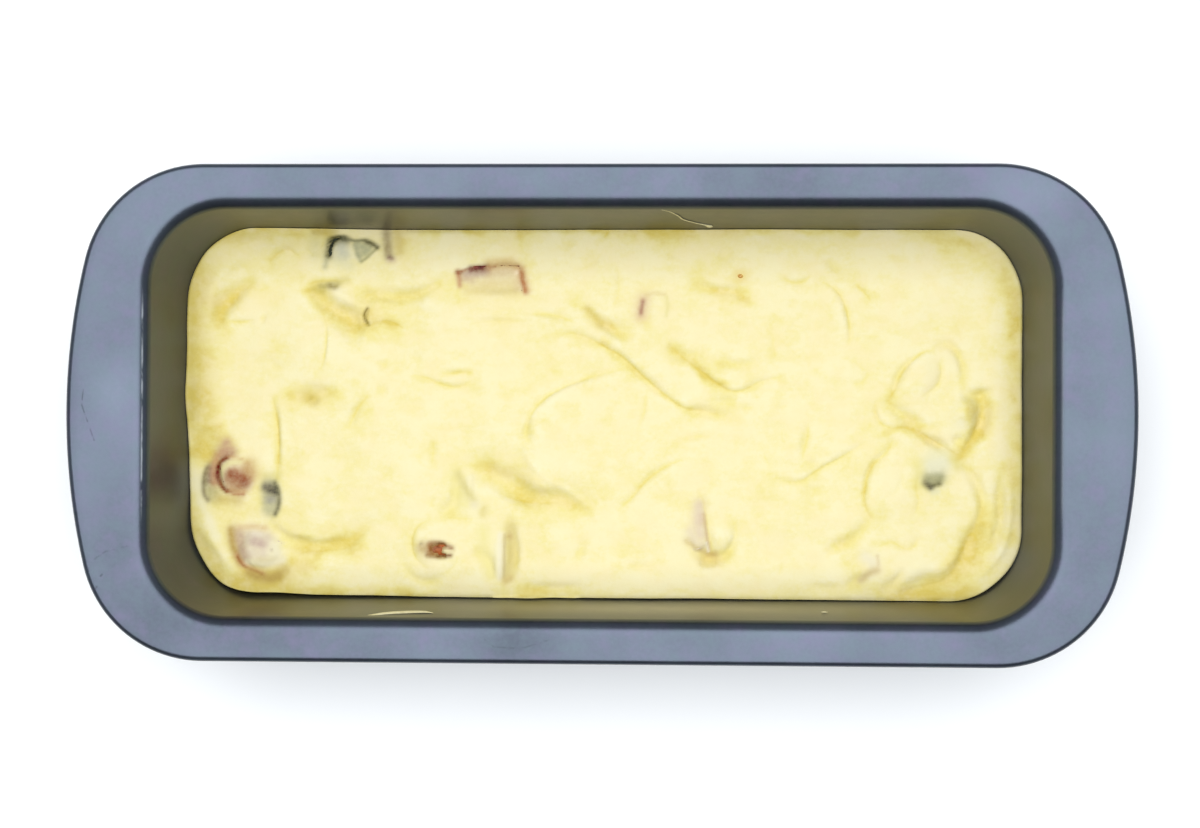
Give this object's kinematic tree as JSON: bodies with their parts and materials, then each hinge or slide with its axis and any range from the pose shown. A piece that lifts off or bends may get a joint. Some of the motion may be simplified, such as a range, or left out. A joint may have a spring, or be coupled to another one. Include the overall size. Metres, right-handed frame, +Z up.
{
  "type": "fruit cake loaf batter in its tin",
  "caption": "Raw fruit cake batter, swirled and dotted with candied fruit, filling a wide-rimmed rectangular loaf tin a little over half way, ready to bake.",
  "frame": {"origin": "under the middle of the tin, in the plane that its base stands on", "axes": "+X along the tin's length, +Y across it, +Z up out of the tin"},
  "size_m": [0.3, 0.14, 0.07],
  "materials": {
    "nonstick_coating": "satin dark blue-grey non-stick coating on pressed steel",
    "batter": "smooth moist pale-yellow cake batter, satin",
    "fruit_green": "dark green candied fruit, glossy, thinly coated with batter",
    "fruit_purple": "dark purple candied fruit, glossy, thinly coated with batter",
    "fruit_red": "glossy red glace cherry",
    "fruit_brown_red": "glossy brown-red candied fruit",
    "fruit_pink": "pink candied fruit under a film of batter",
    "fruit_pale": "pale candied peel under a film of batter"
  },
  "bodies": {
    "root": {"loaf_tin": "nonstick_coating", "batter": "batter", "fruit_green_lobed": "fruit_green", "fruit_green_small": "fruit_green", "fruit_green_dark": "fruit_green", "fruit_green_sunk": "fruit_green", "fruit_green_grey": "fruit_green", "fruit_purple_streak": "fruit_purple", "fruit_purple_round": "fruit_purple", "fruit_violet": "fruit_purple", "fruit_red_slab": "fruit_red", "fruit_cherry": "fruit_red", "fruit_red_brown": "fruit_brown_red", "fruit_pink_lump": "fruit_pink", "fruit_pink_pale": "fruit_pink", "fruit_lilac_wedge": "fruit_pink", "fruit_pale_slab": "fruit_pale"}
  },
  "joints": []
}
